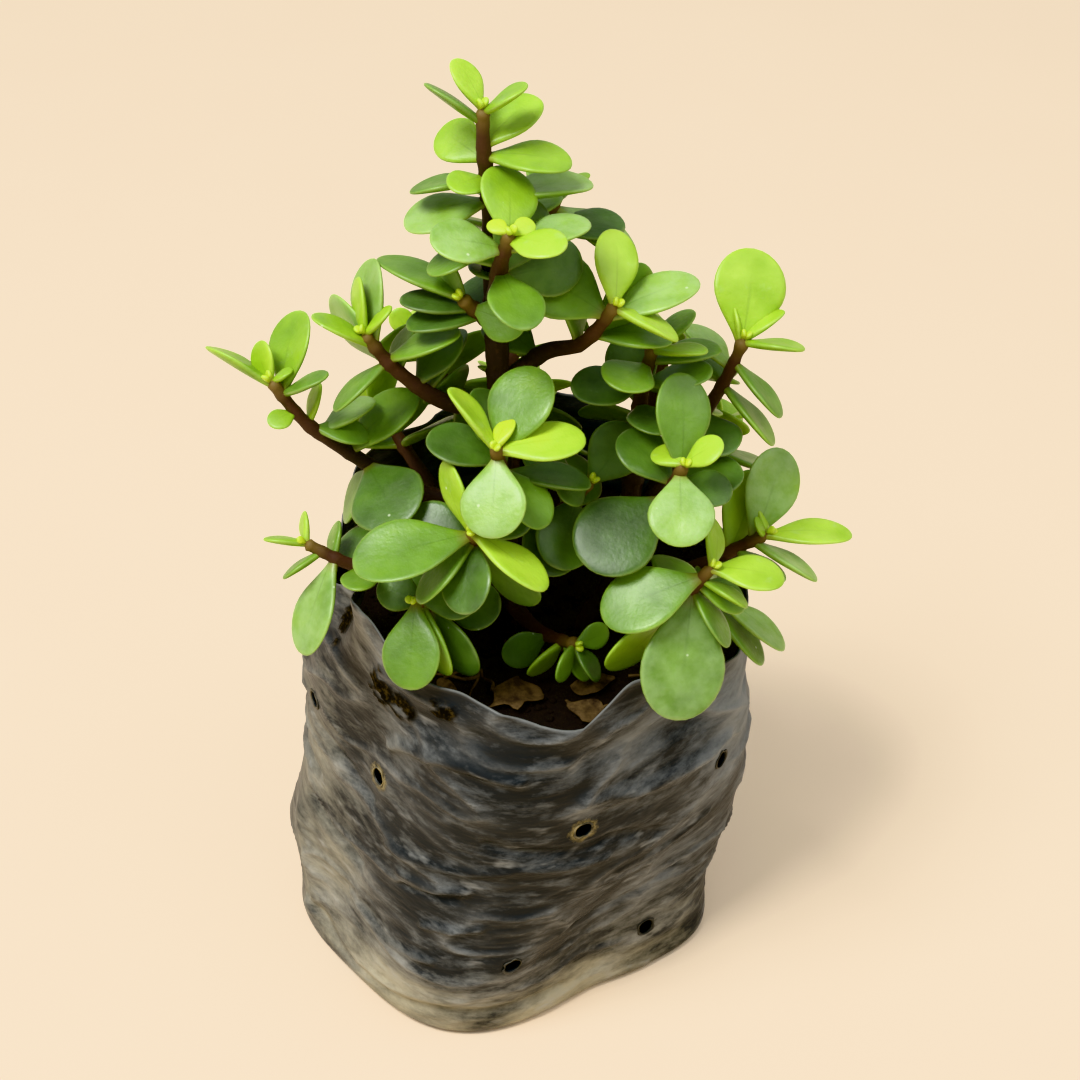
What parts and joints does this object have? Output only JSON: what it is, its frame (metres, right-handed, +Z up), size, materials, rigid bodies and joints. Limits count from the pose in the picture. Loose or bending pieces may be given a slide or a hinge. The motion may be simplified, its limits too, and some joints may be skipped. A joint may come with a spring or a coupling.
{
  "type": "potted jade plant",
  "caption": "Small-leaved jade plant with fleshy round leaves on branching stems, growing in a slumped black film grow bag filled with soil.",
  "frame": {"origin": "middle of the grow bag's flat bottom, on the surface it stands on", "axes": "+Z up along the plant, -Y towards the front of the pictured view, +X to the right"},
  "size_m": [0.134, 0.1029, 0.2178],
  "materials": {
    "polyethylene_film": "dusty wrinkled black film",
    "potting_soil": "dark crumbly soil",
    "woody_stem": "red-brown ringed bark",
    "leafy_shoot": "waxy fleshy green leaves",
    "dead_leaf": "dry brown leaf"
  },
  "bodies": {
    "root": {"grow_bag": "polyethylene_film", "soil": "potting_soil", "trunk": "woody_stem", "side_stem": "woody_stem", "shoot_leader": "leafy_shoot", "shoot_crown": "leafy_shoot", "shoot_nape": "leafy_shoot", "shoot_fork": "leafy_shoot", "shoot_reach": "leafy_shoot", "shoot_low_left": "leafy_shoot", "shoot_right_top": "leafy_shoot", "shoot_centre": "leafy_shoot", "shoot_heart": "leafy_shoot", "shoot_right_mid": "leafy_shoot", "shoot_behind_right": "leafy_shoot", "shoot_right_high": "leafy_shoot", "shoot_right_out": "leafy_shoot", "shoot_right_front": "leafy_shoot", "shoot_low_right": "leafy_shoot", "shoot_front": "leafy_shoot", "shoot_front_low": "leafy_shoot", "shoot_low_front": "leafy_shoot", "shoot_back_top": "leafy_shoot", "shoot_back_left": "leafy_shoot", "shoot_back_mid": "leafy_shoot", "shoot_back_right": "leafy_shoot", "shoot_back_low_left": "leafy_shoot", "shoot_back_low": "leafy_shoot", "shoot_back_low_right": "leafy_shoot", "dead_leaf_1": "dead_leaf", "dead_leaf_2": "dead_leaf", "dead_leaf_3": "dead_leaf", "dead_leaf_4": "dead_leaf"}
  },
  "joints": []
}
